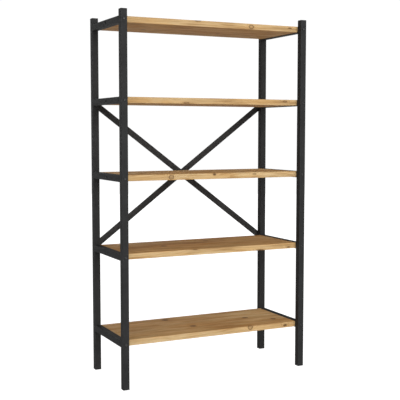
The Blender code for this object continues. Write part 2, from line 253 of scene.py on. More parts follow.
class BookcaseColours(bpy.types.PropertyGroup):
    """Colours of the finishes and strength of the light"""

    coat: FloatVectorProperty(
        name="Powder coat", description="Charcoal powder coat on the steel",
        default=(0.0270, 0.0272, 0.0276), size=3, min=0.0, max=1.0, subtype="COLOR")
    wood_light: FloatVectorProperty(
        name="Early wood", description="Lightest tone of the wood",
        default=(0.825, 0.610, 0.335), size=3, min=0.0, max=1.0, subtype="COLOR")
    wood_middle: FloatVectorProperty(
        name="Middle wood", description="Middle tone of the wood",
        default=(0.655, 0.440, 0.213), size=3, min=0.0, max=1.0, subtype="COLOR")
    wood_dark: FloatVectorProperty(
        name="Late wood", description="Darkest tone of the grain lines",
        default=(0.350, 0.185, 0.066), size=3, min=0.0, max=1.0, subtype="COLOR")
    resin: FloatVectorProperty(
        name="Resin", description="Warm tint of the resinous patches",
        default=(1.000, 0.910, 0.780), size=3, min=0.0, max=1.0, subtype="COLOR")
    # The two tints of the painted shade on the boards' top and underside: faint where its streaks
    # are pale, deep where they are dark
    faint_painted_shade: FloatVectorProperty(
        name="Thin oil", description="How the oil tints the pale parts of the broad faces",
        default=(1.000, 0.960, 0.900), size=3, min=0.0, max=1.0, subtype="COLOR")
    deep_painted_shade: FloatVectorProperty(
        name="Deep oil", description="How the oil deepens the soft streaks of the broad faces",
        default=(0.800, 0.640, 0.475), size=3, min=0.0, max=1.0, subtype="COLOR")
    knot: FloatVectorProperty(
        name="Knots", description="Heart of the knots",
        default=(0.150, 0.075, 0.030), size=3, min=0.0, max=1.0, subtype="COLOR")
    plastic: FloatVectorProperty(
        name="Plastic", description="Caps and feet of the posts",
        default=(0.012, 0.012, 0.012), size=3, min=0.0, max=1.0, subtype="COLOR")
    fastener: FloatVectorProperty(
        name="Fasteners", description="Blackened steel of the bolts, screws and rivet",
        default=(0.060, 0.060, 0.061), size=3, min=0.0, max=1.0, subtype="COLOR")
    fill_light: FloatProperty(
        name="Fill light", description="Even light from all round the studio",
        default=0.07, min=0.0, max=5.0)
    floor_glow: FloatProperty(
        name="Floor glow", description="Light that the lit floor sends up",
        default=0.31, min=0.0, max=20.0)
    backdrop: FloatProperty(
        name="Backdrop", description="Brightness of the plain backdrop and floor as they are seen",
        default=1.03, min=0.0, max=5.0)


# ---------------------------------------------------------------- helpers


def sizes():
    """The size settings of this scene."""
    return bpy.context.scene.bookcase_sizes


def colours():
    """The colour settings of this scene."""
    return bpy.context.scene.bookcase_colours


def middle_of(node):
    """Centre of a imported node's box."""
    low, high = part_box(node)
    return (low + high) / 2


def add_piece(name, mesh, material, node, place):
    """Link a finished piece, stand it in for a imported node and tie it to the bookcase."""
    piece = bpy.data.objects.new(name, mesh)
    bpy.context.scene.collection.objects.link(piece)
    if not mesh.materials:
        mesh.materials.append(material)
    piece.matrix_world = place
    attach(piece, BODY)
    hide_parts(node)


def mesh_from(bm, name, smooth_angle):
    """Turn a bmesh into a mesh that is smooth below the given angle in degrees."""
    bmesh.ops.recalc_face_normals(bm, faces=bm.faces)
    mesh = bpy.data.meshes.new(name)
    bm.to_mesh(mesh)
    bm.free()
    mesh.shade_smooth()
    mesh.set_sharp_from_angle(angle=math.radians(smooth_angle))
    return mesh


def wear_layer(bm):
    """The vertex layer that says how exposed a spot is to rubbing."""
    return bm.verts.layers.float.new(WEAR)


def add_ring(bm, points, layer):
    """Vertices at (place, wear) pairs."""
    ring = []
    for place, wear in points:
        vert = bm.verts.new(place)
        vert[layer] = wear
        ring.append(vert)
    return ring


def join_rings(bm, first, second):
    """Faces between two rings of the same length."""
    count = len(first)
    for index in range(count):
        after = (index + 1) % count
        bm.faces.new((first[index], first[after], second[after], second[index]))


def join_all(bm, rings):
    """Faces from each ring to the next."""
    for first, second in zip(rings, rings[1:]):
        join_rings(bm, first, second)


def rounded_square(half, radius):
    """Points (x, y, wear) round a rounded square: worn on the corners, fresh beside them."""
    points = []
    for corner in range(4):
        turn = corner * math.pi / 2
        turned = Matrix.Rotation(turn, 2)
        centre = turned @ Vector((half - radius, half - radius))
        before = turned @ Vector((half, half - radius - CORNER_SHOULDER))
        points.append((before.x, before.y, 0.0))
        for step in range(CORNER_STEPS + 1):
            angle = turn + step / CORNER_STEPS * math.pi / 2
            points.append((centre.x + radius * math.cos(angle),
                           centre.y + radius * math.sin(angle), 1.0))
        behind = turned @ Vector((half - radius - CORNER_SHOULDER, half))
        points.append((behind.x, behind.y, 0.0))
    return points


def scaled_ring(outline, half, inset, height, wear=None):
    """An outline drawn in by an inset, at a height, with its own wear or a given one."""
    factor = (half - inset) / half
    return [((x * factor, y * factor, height), own_wear if wear is None else wear)
            for x, y, own_wear in outline]


# ---------------------------------------------------------------- shader helpers


def new_material(name):
    """An empty node material with its Principled shader and output."""
    material = bpy.data.materials.new(name)
    material.use_nodes = True
    tree = material.node_tree
    tree.nodes.clear()
    shader = tree.nodes.new("ShaderNodeBsdfPrincipled")
    output = tree.nodes.new("ShaderNodeOutputMaterial")
    tree.links.new(shader.outputs["BSDF"], output.inputs["Surface"])
    return material, tree, shader


def put(tree, socket, value):
    """Set a socket to a number or a colour, or link it."""
    if isinstance(value, bpy.types.NodeSocket):
        tree.links.new(value, socket)
    elif hasattr(value, "__len__") and len(value) == 3 and socket.type == "RGBA":
        socket.default_value = (*value, 1.0)
    else:
        socket.default_value = value


def maths(tree, operation, first, second=0.0):
    """One Math node."""
    node = tree.nodes.new("ShaderNodeMath")
    node.operation = operation
    for socket, value in zip(node.inputs, (first, second)):
        put(tree, socket, value)
    return node.outputs[0]


def plus(tree, first, second):
    """The sum of two values."""
    return maths(tree, "ADD", first, second)


def minus(tree, first, second):
    """The first value less the second."""
    return maths(tree, "SUBTRACT", first, second)


def times(tree, first, second):
    """The product of two values."""
    return maths(tree, "MULTIPLY", first, second)


def vector_maths(tree, operation, first, second=(0.0, 0.0, 0.0)):
    """One Vector Math node."""
    node = tree.nodes.new("ShaderNodeVectorMath")
    node.operation = operation
    put(tree, node.inputs[0], first)
    put(tree, node.inputs[1], second)
    return node.outputs["Value" if operation == "LENGTH" else "Vector"]


def noise(tree, vector, scale, detail, roughness, distortion=0.0, fourth=None):
    """A noise value round 0.5, in four dimensions where a fourth coordinate is given."""
    node = tree.nodes.new("ShaderNodeTexNoise")
    if fourth is not None:
        node.noise_dimensions = "4D"
        put(tree, node.inputs["W"], fourth)
    put(tree, node.inputs["Vector"], vector)
    node.inputs["Scale"].default_value = scale
    node.inputs["Detail"].default_value = detail
    node.inputs["Roughness"].default_value = roughness
    node.inputs["Distortion"].default_value = distortion
    return node.outputs["Fac"]


def pattern(tree, place, name):
    """One of the even noise patterns of the finishes."""
    return noise(tree, place, *PATTERNS[name])


def grain(tree, place, name, fourth=None, distortion=0.0):
    """One of the wood's noise patterns, drawn out along the board."""
    repeats, detail, roughness = GRAIN_PATTERNS[name]
    drawn_out = vector_maths(tree, "MULTIPLY", place, repeats)
    return noise(tree, drawn_out, 1.0, detail, roughness, distortion, fourth)


def spread(tree, value, low, high, to_low=0.0, to_high=1.0, smooth=False):
    """Map one range to another, clamped."""
    node = tree.nodes.new("ShaderNodeMapRange")
    node.interpolation_type = "SMOOTHSTEP" if smooth else "LINEAR"
    for socket, number in zip(node.inputs, (value, low, high, to_low, to_high)):
        put(tree, socket, number)
    return node.outputs["Result"]


def blend(tree, factor, first, second, mode="MIX"):
    """Mix two colours."""
    node = tree.nodes.new("ShaderNodeMix")
    node.data_type = "RGBA"
    node.blend_type = mode
    put(tree, node.inputs["Factor"], factor)
    put(tree, node.inputs["A"], first)
    put(tree, node.inputs["B"], second)
    return next(socket for socket in node.outputs if socket.type == "RGBA")


def split(tree, vector):
    """The three parts of a vector or a colour."""
    node = tree.nodes.new("ShaderNodeSeparateXYZ")
    tree.links.new(vector, node.inputs[0])
    return node.outputs


def bumped(tree, shader, height, strength, distance):
    """Raise the surface by a height map, at most by the distance in metres."""
    bump = tree.nodes.new("ShaderNodeBump")
    bump.inputs["Strength"].default_value = strength
    bump.inputs["Distance"].default_value = distance
    tree.links.new(height, bump.inputs["Height"])
    tree.links.new(bump.outputs["Normal"], shader.inputs["Normal"])


def place_of(tree):
    """Coordinates in metres on the piece."""
    return tree.nodes.new("ShaderNodeTexCoord").outputs["Object"]


def wear_of(tree):
    """The rubbed-edge value stored on the mesh."""
    node = tree.nodes.new("ShaderNodeAttribute")
    node.attribute_type = "GEOMETRY"
    node.attribute_name = WEAR
    return node.outputs["Fac"]


def tinted(colour, factor):
    """A colour made darker or paler."""
    return tuple(Vector(colour) * factor)


# ---------------------------------------------------------------- finishes


def make_powder_coat():
    """Satin charcoal powder coat: fine orange peel, faint mottling, thinner on the corners."""
    material, tree, shader = new_material("charcoal_powder_coat")
    place = place_of(tree)
    coat = colours().coat
    dark_patch, pale_patch, pale_speck, rubbed_edge = 0.88, 1.14, 1.9, 2.4
    most_speck, most_rub, rub_polish = 0.35, 0.45, 0.08
    speck = pattern(tree, place, "coat_speck")
    tone = blend(tree, spread(tree, pattern(tree, place, "coat_cloud"), 0.35, 0.65),
                 tinted(coat, dark_patch), tinted(coat, pale_patch))
    tone = blend(tree, spread(tree, speck, 0.60, 0.80, 0.0, most_speck), tone,
                 tinted(coat, pale_speck))
    rub = times(tree, wear_of(tree), spread(tree, pattern(tree, place, "coat_rub"), 0.40, 0.75))
    tone = blend(tree, times(tree, rub, most_rub), tone, tinted(coat, rubbed_edge))
    put(tree, shader.inputs["Base Color"], tone)
    rough = spread(tree, pattern(tree, place, "coat_sheen"), 0.3, 0.7, *COAT_ROUGHNESS)
    put(tree, shader.inputs["Roughness"], minus(tree, rough, times(tree, rub, rub_polish)))
    shader.inputs["Specular IOR Level"].default_value = DULL_SPECULAR
    speck_relief = 0.35
    peel = plus(tree, pattern(tree, place, "coat_peel"), times(tree, speck, speck_relief))
    bumped(tree, shader, peel, strength=0.22, distance=0.0006)
    return material


def make_plastic():
    """Matt moulded plastic, near black, with a fine spark-eroded grain."""
    material, tree, shader = new_material("black_moulded_plastic")
    place = place_of(tree)
    plastic = colours().plastic
    dark_patch, pale_patch, scuffed_edge, most_scuff = 0.85, 1.3, 4.0, 0.5
    tone = blend(tree, spread(tree, pattern(tree, place, "plastic_cloud"), 0.35, 0.65),
                 tinted(plastic, dark_patch), tinted(plastic, pale_patch))
    scuff = times(tree, wear_of(tree),
                  spread(tree, pattern(tree, place, "plastic_scuff"), 0.45, 0.75))
    tone = blend(tree, times(tree, scuff, most_scuff), tone, tinted(plastic, scuffed_edge))
    put(tree, shader.inputs["Base Color"], tone)
    fine_grain = pattern(tree, place, "plastic_grain")
    put(tree, shader.inputs["Roughness"],
        spread(tree, fine_grain, 0.3, 0.7, *PLASTIC_ROUGHNESS))
    shader.inputs["Specular IOR Level"].default_value = PLASTIC_SPECULAR
    bumped(tree, shader, fine_grain, strength=0.18, distance=0.0003)
    return material


def make_fastener_steel():
    """Blackened steel: turned rings on the heads, brighter on the rims."""
    material, tree, shader = new_material("blackened_steel")
    place = place_of(tree)
    fastener = colours().fastener
    dark_patch, pale_patch, rubbed_rim, most_rub = 0.8, 1.25, 1.9, 0.35
    stain = pattern(tree, place, "steel_stain")
    tone = blend(tree, spread(tree, stain, 0.3, 0.7),
                 tinted(fastener, dark_patch), tinted(fastener, pale_patch))
    tone = blend(tree, times(tree, wear_of(tree), most_rub), tone, tinted(fastener, rubbed_rim))
    put(tree, shader.inputs["Base Color"], tone)
    put(tree, shader.inputs["Roughness"], spread(tree, stain, 0.3, 0.7, *STEEL_ROUGHNESS))
    shader.inputs["Metallic"].default_value = 1.0
    flat = vector_maths(tree, "MULTIPLY", place, (1.0, 1.0, 0.0))
    radius = vector_maths(tree, "LENGTH", flat)
    turned = maths(tree, "SINE", times(tree, radius, TURNED_RINGS))
    bumped(tree, shader, turned, strength=0.05, distance=0.0002)
    return material


def make_knot_group():
    """Node group for one knot: how dark a spot is, and how far the grain bends round it."""
    group = bpy.data.node_groups.new("wood_knot", "ShaderNodeTree")
    face = group.interface
    for label, kind in (("Place", "Vector"), ("Middle", "Vector"), ("Half Size", "Vector"),
                        ("Ripple", "Float"), ("Solid", "Float")):
        face.new_socket(label, in_out="INPUT", socket_type="NodeSocket" + kind)
    for label in ("Heart", "Bend"):
        face.new_socket(label, in_out="OUTPUT", socket_type="NodeSocketFloat")
    source = group.nodes.new("NodeGroupInput").outputs
    sink = group.nodes.new("NodeGroupOutput")
    ripple_reach, rim_reach, ring_turns = 0.9, 0.95, 17.0
    away = vector_maths(group, "SUBTRACT", source["Place"], source["Middle"])
    away = vector_maths(group, "DIVIDE", away, source["Half Size"])
    ripple = times(group, minus(group, source["Ripple"], 0.5), ripple_reach)
    reach = plus(group, vector_maths(group, "LENGTH", away), ripple)
    core = times(group, spread(group, reach, 0.45, 1.10, 1.0, 0.0, smooth=True), source["Solid"])
    off_rim = maths(group, "ABSOLUTE", minus(group, reach, rim_reach))
    rim = times(group, spread(group, off_rim, 0.0, 0.42, 1.0, 0.0, smooth=True),
                spread(group, source["Ripple"], 0.42, 0.54, 0.72, 1.0))
    wave = maths(group, "SINE", times(group, reach, ring_turns))
    rings = times(group, plus(group, wave, 1.0), 0.5)
    inner = times(group, rings, spread(group, reach, 0.5, 1.0, 0.50, 0.10))
    heart = maths(group, "MAXIMUM", maths(group, "MAXIMUM", core, rim), inner)
    group.links.new(heart, sink.inputs["Heart"])
    group.links.new(spread(group, reach, 0.3, 3.4, 1.0, 0.0, smooth=True), sink.inputs["Bend"])
    return group


def knot_node(tree, group, place, ripple, knot):
    """One knot of a board: its heart and bend values."""
    node = tree.nodes.new("ShaderNodeGroup")
    node.node_tree = group
    middle, half_size, solid = knot
    tree.links.new(place, node.inputs["Place"])
    tree.links.new(ripple, node.inputs["Ripple"])
    node.inputs["Middle"].default_value = middle
    node.inputs["Half Size"].default_value = half_size
    node.inputs["Solid"].default_value = solid
    return node.outputs["Heart"], node.outputs["Bend"]


def all_knots(tree, group, place, shelf):
    """All the knots of a board together."""
    ripple = pattern(tree, place, "knot_ripple")
    heart = 0.0
    bend = 0.0
    for knot in BOARD_KNOTS[shelf]:
        this_heart, this_bend = knot_node(tree, group, place, ripple, knot)
        heart = maths(tree, "MAXIMUM", this_heart, heart)
        bend = plus(tree, this_bend, bend)
    return heart, bend


def stave_numbers(tree, across, shelf):
    """A random value and a random colour for each glued stave of a board."""
    shifted = plus(tree, across, FIRST_JOINT + JOINT_SHIFT * shelf)
    stave = maths(tree, "FLOOR", maths(tree, "DIVIDE", shifted, sizes().plank_width))
    key = tree.nodes.new("ShaderNodeCombineXYZ")
    tree.links.new(stave, key.inputs["X"])
    key.inputs["Y"].default_value = BOARD_SEED * shelf
    chance = tree.nodes.new("ShaderNodeTexWhiteNoise")
    chance.noise_dimensions = "2D"
    tree.links.new(key.outputs[0], chance.inputs["Vector"])
    return chance.outputs["Value"], chance.outputs["Color"]


def year_rings(tree, place, across, up, stave, bend, seed):
    """Late wood of the year rings, cut through in three dimensions, and each ring's own depth."""
    stave_value, stave_colour = stave
    own_noise = plus(tree, times(tree, stave_value, RING_SEED), seed)
    drift = grain(tree, place, "drift", own_noise)
    shift = split(tree, vector_maths(tree, "SUBTRACT", stave_colour, (0.5, 0.5, 0.5)))
    off_y = minus(tree, across, times(tree, shift[0], PITH_SPREAD_ACROSS))
    pith_z = plus(tree, times(tree, shift[1], PITH_SPREAD_UP), PITH_HEIGHT)
    off_z = minus(tree, up, pith_z)
    radius = maths(tree, "SQRT", plus(tree, times(tree, off_y, off_y), times(tree, off_z, off_z)))
    radius = plus(tree, radius, times(tree, drift, RING_DRIFT))
    radius = plus(tree, radius, times(tree, bend, KNOT_BEND))
    count = maths(tree, "DIVIDE", radius, sizes().ring_spacing)
    phase = maths(tree, "FRACT", count)
    late_start, late_end = 0.30, 0.92
    late = times(tree, spread(tree, phase, late_start, late_end, 0.0, 1.0, smooth=True),
                 spread(tree, phase, late_end, 1.0, 1.0, 0.0))
    year = tree.nodes.new("ShaderNodeTexWhiteNoise")
    year.noise_dimensions = "1D"
    tree.links.new(maths(tree, "FLOOR", count), year.inputs["W"])
    good_years = noise(tree, (0.0, 0.0, 0.0), 1.0, 2.0, 0.5, 0.0,
                       times(tree, radius, GOOD_YEARS_PER_METRE))
    depth = times(tree, spread(tree, year.outputs["Value"], 0.0, 1.0, 0.35, 1.0),
                  spread(tree, good_years, 0.32, 0.66, 0.25, 1.0))
    return late, depth


def wood_tone(tree, late, depth, bend, layers, shelf):
    """How dark the wood is at a spot: 0 is the palest early wood, 1 the darkest late wood."""
    late_wood, round_knots = 0.55, 0.20
    tone = times(tree, times(tree, late, depth), late_wood)
    for value, low, high, palest, darkest in layers:
        tone = plus(tree, tone, spread(tree, value, low, high, palest, darkest))
    tone = plus(tree, tone, BOARD_SHADE[shelf])
    return plus(tree, tone, spread(tree, bend, 0.35, 1.0, 0.0, round_knots))


def wood_ramp(tree, tone):
    """The wood's colour for a tone: early wood, middle wood and late wood."""
    tints = colours()
    ramp = tree.nodes.new("ShaderNodeValToRGB")
    tree.links.new(tone, ramp.inputs["Fac"])
    stops = ramp.color_ramp.elements
    stops[0].color = (*tints.wood_light, 1.0)
    stops[1].color = (*tints.wood_dark, 1.0)
    middle = stops.new(0.45)
    middle.color = (*tints.wood_middle, 1.0)
    return ramp.outputs["Color"]


def make_wood(shelf, knot_group):
    """Knotty board wood: glued staves, year rings, long streaks, fine fibres, pores and knots, with
    painted shade on the top and the underside.
    """
    material, tree, shader = new_material(f"knotty_wood_{shelf}")
    place = place_of(tree)
    tints = colours()
    seed = BOARD_SEED * shelf
    heart, bend = all_knots(tree, knot_group, place, shelf)
    across, up = split(tree, place)[1:]
    stave = stave_numbers(tree, across, shelf)
    late, depth = year_rings(tree, place, across, up, stave, bend, seed)

    own_noise = plus(tree, times(tree, stave[0], GRAIN_SEED), seed)
    fibre = grain(tree, place, "fibre")
    pores = grain(tree, place, "pores")
    # Each layer: its value, the part of its range that counts, and the tone it adds at either end
    layers = ((grain(tree, place, "streak", own_noise), 0.36, 0.66, 0.0, 0.42),
              (grain(tree, place, "cloud"), 0.36, 0.66, -0.10, 0.22),
              (fibre, 0.35, 0.70, 0.0, 0.16),
              (stave[0], 0.0, 1.0, -0.10, 0.10))
    wood = wood_ramp(tree, wood_tone(tree, late, depth, bend, layers, shelf))
    most_pore = 0.25
    wood = blend(tree, spread(tree, pores, 0.64, 0.80, 0.0, most_pore), wood, tints.wood_dark)
    warmth = grain(tree, place, "warmth", own_noise)
    warmed = blend(tree, 1.0, wood, tints.resin, "MULTIPLY")
    wood = blend(tree, spread(tree, warmth, 0.42, 0.62), wood, warmed)

    # Painted shade, laid on unevenly in soft streaks, darkens the top and the underside only; the
    # front and the ends keep the plain wood
    shaded_broad_face = spread(tree, maths(tree, "ABSOLUTE", up), *BROAD_FACE_FROM)
    shade_streaks = grain(tree, place, "shade_streaks", own_noise, SHADE_STREAK_DISTORTION)
    painted_shade_tint = blend(tree, spread(tree, shade_streaks, 0.37, 0.60, smooth=True), tints.faint_painted_shade, tints.deep_painted_shade)
    wood = blend(tree, shaded_broad_face, wood, blend(tree, 1.0, wood, painted_shade_tint, "MULTIPLY"))
    wood = blend(tree, heart, wood, tints.knot)
    put(tree, shader.inputs["Base Color"], wood)

    knot_polish, fibre_relief, late_relief, pore_relief = 0.12, 0.8, 0.25, 0.4
    rough = spread(tree, fibre, 0.3, 0.7, *WOOD_ROUGHNESS)
    put(tree, shader.inputs["Roughness"], minus(tree, rough, times(tree, heart, knot_polish)))
    shader.inputs["Specular IOR Level"].default_value = DULL_SPECULAR
    relief = minus(tree, times(tree, fibre, fibre_relief), times(tree, late, late_relief))
    relief = minus(tree, relief, times(tree, spread(tree, pores, 0.6, 0.8), pore_relief))
    bumped(tree, shader, relief, strength=0.25, distance=0.0005)
    return material


def make_floor_paint():
    """Plain pale studio floor, faintly mottled, glowing white where the camera sees it."""
    material, tree, shader = new_material("pale_floor")
    dark_patch, pale_patch = (0.30, 0.30, 0.30), (0.33, 0.33, 0.33)
    cloud = pattern(tree, place_of(tree), "floor_cloud")
    put(tree, shader.inputs["Base Color"],
        blend(tree, spread(tree, cloud, 0.3, 0.7), dark_patch, pale_patch))
    shader.inputs["Roughness"].default_value = 0.9
    shader.inputs["Specular IOR Level"].default_value = 0.0
    shader.inputs["Emission Color"].default_value = (1.0, 1.0, 1.0, 1.0)
    seen = tree.nodes.new("ShaderNodeLightPath").outputs["Is Camera Ray"]
    put(tree, shader.inputs["Emission Strength"],
        spread(tree, seen, 0.0, 1.0, colours().floor_glow, colours().backdrop))
    return material


FINISH_MAKERS = {"coat": make_powder_coat, "plastic": make_plastic,
                 "fastener": make_fastener_steel}
made_finishes = {}


def finish(name):
    """A finish, made the first time that it is asked for."""
    if name not in made_finishes:
        made_finishes[name] = FINISH_MAKERS[name]()
    return made_finishes[name]


# ---------------------------------------------------------------- shapes


def tube_mesh(name, half, low, high, capped):
    """A square tube along Z with soft cut ends: open with its wall showing, or closed by plates."""
    bm = bmesh.new()
    layer = wear_layer(bm)
    outline = rounded_square(half, sizes().tube_corner)
    rubbed = RUBBED_ENDS * CUT_EDGE
    rings = [add_ring(bm, scaled_ring(outline, half, CUT_EDGE, low, 1.0), layer),
             add_ring(bm, scaled_ring(outline, half, 0.0, low + CUT_EDGE, 1.0), layer),
             add_ring(bm, scaled_ring(outline, half, 0.0, low + rubbed), layer),
             add_ring(bm, scaled_ring(outline, half, 0.0, high - rubbed), layer),
             add_ring(bm, scaled_ring(outline, half, 0.0, high - CUT_EDGE, 1.0), layer),
             add_ring(bm, scaled_ring(outline, half, CUT_EDGE, high, 1.0), layer)]
    if capped:
        bm.faces.new(rings[0])
        bm.faces.new(rings[-1])
    else:
        inner = rounded_square(half - sizes().tube_wall, TUBE_INNER_CORNER)
        for height in (high, low):
            rings.append(add_ring(bm, [((x, y, height), 0.0) for x, y, _ in inner], layer))
        join_rings(bm, rings[-1], rings[0])
    join_all(bm, rings)
    return mesh_from(bm, name, FLAT_SMOOTH_ANGLE)


def plug_mesh(name, half, flange, stem_length, crown):
    """A tube plug with its flange from z 0 down and its stem above, softly rounded outside."""
    bm = bmesh.new()
    layer = wear_layer(bm)
    outline = rounded_square(half, sizes().tube_corner)
    stem_inset = half - PLUG_STEM_HALF
    profile = []
    for step in range(CROWN_STEPS + 1):
        angle = math.pi / 2 * step / CROWN_STEPS
        profile.append((crown * (1.0 - math.sin(angle)),
                        -flange + crown * (1.0 - math.cos(angle)), 0.6))
    profile += [(0.0, 0.0, 0.0), (stem_inset, 0.0, 0.0), (stem_inset, stem_length, 0.0)]
    rings = [add_ring(bm, scaled_ring(outline, half, *station), layer) for station in profile]
    # The mould leaves a shallow sunk panel in the middle of the outer face
    sunk_panel = [add_ring(bm, scaled_ring(outline, half, half * inset, -flange + depth, 0.0),
                           layer) for inset, depth in PLUG_PANEL]
    join_all(bm, [rings[0]] + sunk_panel)
    bm.faces.new(sunk_panel[-1])
    bm.faces.new(rings[-1])
    join_all(bm, rings)
    return mesh_from(bm, name, FLAT_SMOOTH_ANGLE)


def circle_ring(radius, height, wear):
    """Points on a circle at a height."""
    points = []
    for side in range(TURNED_SIDES):
        angle = 2 * math.pi * side / TURNED_SIDES
        points.append(((radius * math.cos(angle), radius * math.sin(angle), height), wear))
    return points


def hexagon_ring(radius, height, wear):
    """Points on a hexagon with the same bearings as a circle's, at a height."""
    points = []
    for side in range(TURNED_SIDES):
        angle = 2 * math.pi * side / TURNED_SIDES
        local = (angle % (math.pi / 3)) - math.pi / 6
        reach = radius * math.cos(math.pi / 6) / math.cos(local)
        points.append(((reach * math.cos(angle), reach * math.sin(angle), height), wear))
    return points


def turned_mesh(name, rings):
    """A closed turned piece from its rings of (place, wear) points, end to end."""
    bm = bmesh.new()
    layer = wear_layer(bm)
    made = [add_ring(bm, points, layer) for points in rings]
    join_all(bm, made)
    bm.faces.new(made[0])
    bm.faces.new(made[-1])
    return mesh_from(bm, name, TURNED_SMOOTH_ANGLE)


def bolt_mesh(name, shank_length, head_radius, head_height, shank_radius, socket_radius):
    """A button-head bolt with a hexagon socket, its head above z 0 and its shank below."""
    rim_share = 0.22
    tip_radius = shank_radius * 0.8
    tip_height = shank_radius * 0.2
    crown_radius = socket_radius * 1.35
    socket_rim = socket_radius * 1.12
    socket_floor = head_height * 0.30
    pilot_radius = socket_radius * 0.35
    pilot_floor = head_height * 0.20
    rings = [circle_ring(tip_radius, -shank_length, 0.0),
             circle_ring(shank_radius, -shank_length + tip_height, 0.0),
             circle_ring(shank_radius, 0.0, 0.0),
             circle_ring(head_radius - HEAD_CHAMFER, 0.0, 0.5),
             circle_ring(head_radius, HEAD_CHAMFER, 0.8),
             circle_ring(head_radius, head_height * rim_share, 1.0)]
    for step in range(1, DOME_STEPS + 1):
        share = step / DOME_STEPS
        radius = head_radius - (head_radius - crown_radius) * share
        height = head_height * (rim_share + (1.0 - rim_share) * math.sin(share * math.pi / 2))
        rings.append(circle_ring(radius, height, 0.7 * (1.0 - share)))
    rings.append(circle_ring(socket_rim, head_height, 0.9))
    rings.append(hexagon_ring(socket_radius, head_height - HEAD_CHAMFER, 0.8))
    rings.append(hexagon_ring(socket_radius, socket_floor, 0.0))
    rings.append(circle_ring(pilot_radius, pilot_floor, 0.0))
    return turned_mesh(name, rings)


def rivet_mesh(name, head_radius, reach):
    """A rivet along Z with a low domed head on both sides of a grip from z 0 to the reach."""
    dome = []
    for step in range(DOME_STEPS + 1):
        angle = math.pi / 2 * step / DOME_STEPS
        dome.append((max(head_radius * math.sin(angle), RIVET_POLE_RADIUS),
                     RIVET_HEAD_HEIGHT * math.cos(angle)))
    profile = [(radius, -height) for radius, height in dome]
    profile += [(RIVET_SHANK_RADIUS, 0.0), (RIVET_SHANK_RADIUS, reach)]
    profile += [(radius, reach + height) for radius, height in reversed(dome)]
    return turned_mesh(name, [circle_ring(radius, height, 0.4) for radius, height in profile])


def board_mesh(name, length, depth, thickness):
    """A board with eased edges."""
    bm = bmesh.new()
    bmesh.ops.create_cube(bm, size=1.0)
    bmesh.ops.scale(bm, verts=bm.verts, vec=(length, depth, thickness))
    bmesh.ops.bevel(bm, geom=bm.edges[:], offset=sizes().board_edge, segments=4, profile=0.5,
                    affect="EDGES")
    return mesh_from(bm, name, FLAT_SMOOTH_ANGLE)


def bar_outline(half_length):
    """Points round a flat bar with round ends."""
    half_width = BAR_WIDTH / 2
    points = []
    for side in (1, -1):
        for step in range(BAR_END_STEPS + 1):
            angle = math.pi * (step / BAR_END_STEPS - 0.5)
            points.append((side * (half_length + half_width * math.cos(angle)),
                           side * half_width * math.sin(angle)))
    return points


def bar_mesh(name, half_length, rise):
    """A flat bar along X, front face on y 0, bowed back by the rise where it crosses the other."""
    bm = bmesh.new()
    bm.faces.new([bm.verts.new((x, 0.0, z)) for x, z in bar_outline(half_length)])
    span = half_length - 2 * BAR_FLAT_HALF
    stations = [BAR_FLAT_HALF + span * step / BAR_BOW_STEPS for step in range(BAR_BOW_STEPS + 1)]
    for distance in [-station for station in reversed(stations)] + stations:
        bmesh.ops.bisect_plane(bm, geom=bm.verts[:] + bm.edges[:] + bm.faces[:],
                               dist=BAR_CUT_MERGE, plane_co=(distance, 0, 0), plane_no=(1, 0, 0))
    grown = bmesh.ops.extrude_face_region(bm, geom=bm.faces[:])["geom"]
    back = [item for item in grown if isinstance(item, bmesh.types.BMVert)]
    bmesh.ops.translate(bm, verts=back, vec=(0.0, BAR_THICKNESS, 0.0))
    bmesh.ops.recalc_face_normals(bm, faces=bm.faces)
    rim = [edge for edge in bm.edges
           if len(edge.link_faces) == 2 and edge.calc_face_angle(0.0) > BAR_RIM_ANGLE]
    layer = wear_layer(bm)
    made = bmesh.ops.bevel(bm, geom=rim, offset=sizes().bar_edge, segments=3, profile=0.5,
                           affect="EDGES")
    for vert in made["verts"]:
        vert[layer] = 1.0
    for vert in bm.verts:
        share = min(max((abs(vert.co.x) - BAR_FLAT_HALF) / span, 0.0), 1.0)
        vert.co.y += rise * (1.0 - share * share * (3.0 - 2.0 * share))
    return mesh_from(bm, name, FLAT_SMOOTH_ANGLE)


# ---------------------------------------------------------------- operators


class BOOKCASE_OT_posts(bpy.types.Operator):
    """Make the four coated upright posts"""

    bl_idname = "bookcase.posts"
    bl_label = "Posts"

    def execute(self, context):
        low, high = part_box("front_left_post")
        mesh = tube_mesh("post_tube", (high.x - low.x) / 2, 0.0, high.z - low.z, capped=False)
        for corner in CORNERS:
            node = corner + "_post"
            centre = middle_of(node)
            place = Matrix.Translation((centre.x, centre.y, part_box(node)[0].z))
            add_piece(f"coated_post_{corner}", mesh, finish("coat"), node, place)
        return {"FINISHED"}


class BOOKCASE_OT_side_rails(bpy.types.Operator):
    """Make the ten coated side rails between the posts"""

    bl_idname = "bookcase.side_rails"
    bl_label = "Side rails"

    def execute(self, context):
        low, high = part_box("left_side_rail_1")
        length = high.y - low.y
        mesh = tube_mesh("rail_tube", (high.x - low.x) / 2, -length / 2, length / 2, capped=True)
        for shelf in SHELVES:
            for side in SIDES:
                node = f"{side}_side_rail_{shelf}"
                place = Matrix.Translation(middle_of(node)) @ QUARTER_BACK
                add_piece(f"coated_rail_{side}_{shelf}", mesh, finish("coat"), node,
                          place)
        return {"FINISHED"}


class BOOKCASE_OT_boards(bpy.types.Operator):
    """Make the five knotty wooden boards"""

    bl_idname = "bookcase.boards"
    bl_label = "Shelf boards"

    def execute(self, context):
        knot_group = make_knot_group()
        for shelf in SHELVES:
            node = f"shelf_board_{shelf}"
            low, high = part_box(node)
            mesh = board_mesh(f"board_{shelf}", *(high - low))
            add_piece(f"wooden_board_{shelf}", mesh, make_wood(shelf, knot_group), node,
                      Matrix.Translation(middle_of(node)))
        return {"FINISHED"}


